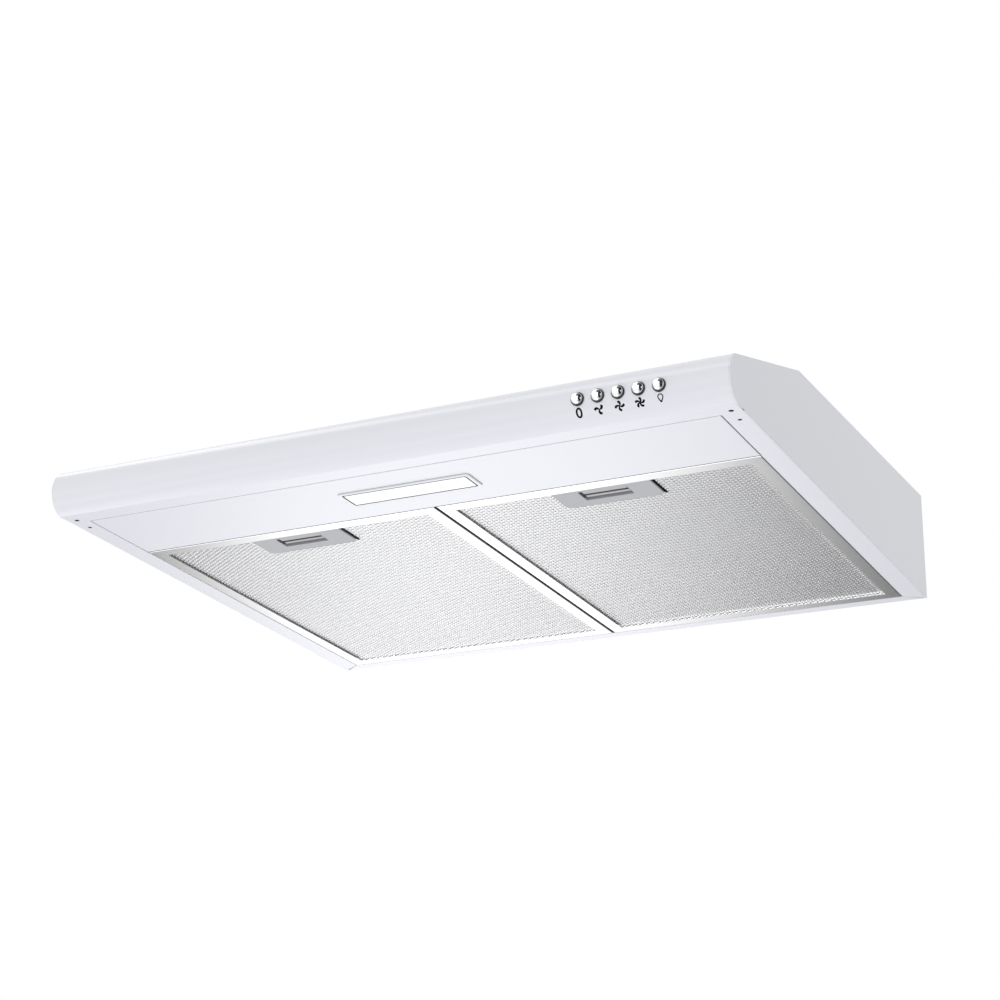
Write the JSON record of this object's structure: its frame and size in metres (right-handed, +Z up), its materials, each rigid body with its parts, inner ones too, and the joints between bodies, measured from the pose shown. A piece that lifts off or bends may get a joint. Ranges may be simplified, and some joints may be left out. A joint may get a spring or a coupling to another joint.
{
  "type": "under cabinet range hood",
  "caption": "Slim under cabinet range hood: sheet steel canopy with a rounded front edge, hinged mesh grease filters, a lamp, push buttons and a top duct outlet.",
  "frame": {"origin": "on the top face that lies against the cabinet, on the centreline, 244 mm in front of the wall face", "axes": "+X to the right of a person facing the hood, -Y out of the front edge, +Y to the wall, +Z up"},
  "size_m": [0.6, 0.4935, 0.1222],
  "materials": {
    "white_enamel_steel": "smooth satin coat, cool near white",
    "black_steel": "blackened, dull",
    "zinc_steel": "zinc coated, dull",
    "chrome_plate": "mirror plated",
    "filter_frame_coat": "smooth satin coat",
    "filter_mesh_aluminium": "expanded mesh, satin",
    "latch_plastic": "fine matt",
    "black_plastic": "matt",
    "damper_plastic": "matt",
    "lamp_white": "opal diffuser, satin",
    "white_plastic": "matt",
    "circuit_board": "white solder mask",
    "motor_steel": "zinc coated",
    "wheel_plastic": "matt",
    "wire_sheath": "flexible, matt"
  },
  "bodies": {
    "canopy": {"canopy_shell": "white_enamel_steel", "side_panel_left": "white_enamel_steel", "side_panel_right": "white_enamel_steel", "front_fascia": "white_enamel_steel", "lamp_panel": "white_enamel_steel", "fascia_screw_left": "black_steel", "fascia_screw_right": "black_steel", "switch_bracket": "zinc_steel", "motor_bracket": "zinc_steel", "capacitor_clip": "zinc_steel", "damper_pin": "zinc_steel", "housing_screw_1": "zinc_steel", "housing_screw_2": "zinc_steel", "housing_screw_3": "zinc_steel", "housing_screw_4": "zinc_steel", "catch_clip_left": "zinc_steel", "catch_clip_right": "zinc_steel", "lamp_lens": "lamp_white", "lamp_bezel": "white_plastic", "led_driver": "white_plastic", "terminal_block": "white_plastic", "capacitor": "white_plastic", "led_board": "circuit_board", "switch_block": "black_plastic", "blower_housing_lower": "black_plastic", "blower_housing_upper": "black_plastic", "inlet_guard": "black_plastic", "outlet_collar": "black_plastic", "terminal_box": "black_plastic", "terminal_cover": "black_plastic", "cable_gland": "black_plastic", "motor": "motor_steel", "switch_loom": "wire_sheath", "motor_loom": "wire_sheath", "lamp_loom": "wire_sheath", "driver_lead": "wire_sheath"},
    "button_off": {"button_off": "chrome_plate"},
    "button_speed_low": {"button_speed_low": "chrome_plate"},
    "button_speed_mid": {"button_speed_mid": "chrome_plate"},
    "button_speed_high": {"button_speed_high": "chrome_plate"},
    "button_lamp": {"button_lamp": "chrome_plate"},
    "fan": {"motor_shaft": "chrome_plate", "impeller": "wheel_plastic"},
    "damper_left": {"damper_flap_left": "damper_plastic"},
    "filter_left": {"filter_frame_left": "filter_frame_coat", "filter_mesh_left": "filter_mesh_aluminium", "latch_body_left": "latch_plastic", "latch_spring_left": "zinc_steel"},
    "latch_left": {"latch_slider_left": "latch_plastic"},
    "damper_right": {"damper_flap_right": "damper_plastic"},
    "filter_right": {"filter_frame_right": "filter_frame_coat", "filter_mesh_right": "filter_mesh_aluminium", "latch_body_right": "latch_plastic", "latch_spring_right": "zinc_steel"},
    "latch_right": {"latch_slider_right": "latch_plastic"}
  },
  "joints": [
    {"name": "off_press", "type": "slide", "parent": "canopy", "child": "button_off", "axis": [0, 1, 0], "range_m": [0, 0.003], "stiffness_N_per_m": 300},
    {"name": "speed_low_press", "type": "slide", "parent": "canopy", "child": "button_speed_low", "axis": [0, 1, 0], "range_m": [0, 0.003], "stiffness_N_per_m": 300},
    {"name": "speed_mid_press", "type": "slide", "parent": "canopy", "child": "button_speed_mid", "axis": [0, 1, 0], "range_m": [0, 0.003], "stiffness_N_per_m": 300},
    {"name": "speed_high_press", "type": "slide", "parent": "canopy", "child": "button_speed_high", "axis": [0, 1, 0], "range_m": [0, 0.003], "stiffness_N_per_m": 300},
    {"name": "lamp_press", "type": "slide", "parent": "canopy", "child": "button_lamp", "axis": [0, 1, 0], "range_m": [0, 0.003], "stiffness_N_per_m": 300},
    {"name": "fan_spin", "type": "hinge", "parent": "canopy", "child": "fan", "pos_m": [-0.07, 0.029, -0.05], "axis": [0, 0, 1], "continuous": true},
    {"name": "damper_left_swing", "type": "hinge", "parent": "canopy", "child": "damper_left", "pos_m": [0, 0.148, 0.0083], "axis": [0, 1, 0], "range_deg": [0, 75]},
    {"name": "damper_right_swing", "type": "hinge", "parent": "canopy", "child": "damper_right", "pos_m": [0, 0.148, 0.0083], "axis": [0, -1, 0], "range_deg": [0, 75]},
    {"name": "filter_left_swing", "type": "hinge", "parent": "canopy", "child": "filter_left", "pos_m": [-0.14097, 0.23091, -0.09665], "axis": [1, 0, 0], "range_deg": [0, 70], "deforming": ["catch_clip_left"]},
    {"name": "latch_left_slide", "type": "slide", "parent": "filter_left", "child": "latch_left", "axis": [0, 0.9991, -0.0417], "range_m": [0, 0.005], "stiffness_N_per_m": 400, "deforming": ["latch_spring_left"]},
    {"name": "filter_right_swing", "type": "hinge", "parent": "canopy", "child": "filter_right", "pos_m": [0.14097, 0.23091, -0.09665], "axis": [1, 0, 0], "range_deg": [0, 70], "deforming": ["catch_clip_right"]},
    {"name": "latch_right_slide", "type": "slide", "parent": "filter_right", "child": "latch_right", "axis": [0, 0.9991, -0.0417], "range_m": [0, 0.005], "stiffness_N_per_m": 400, "deforming": ["latch_spring_right"]}
  ]
}
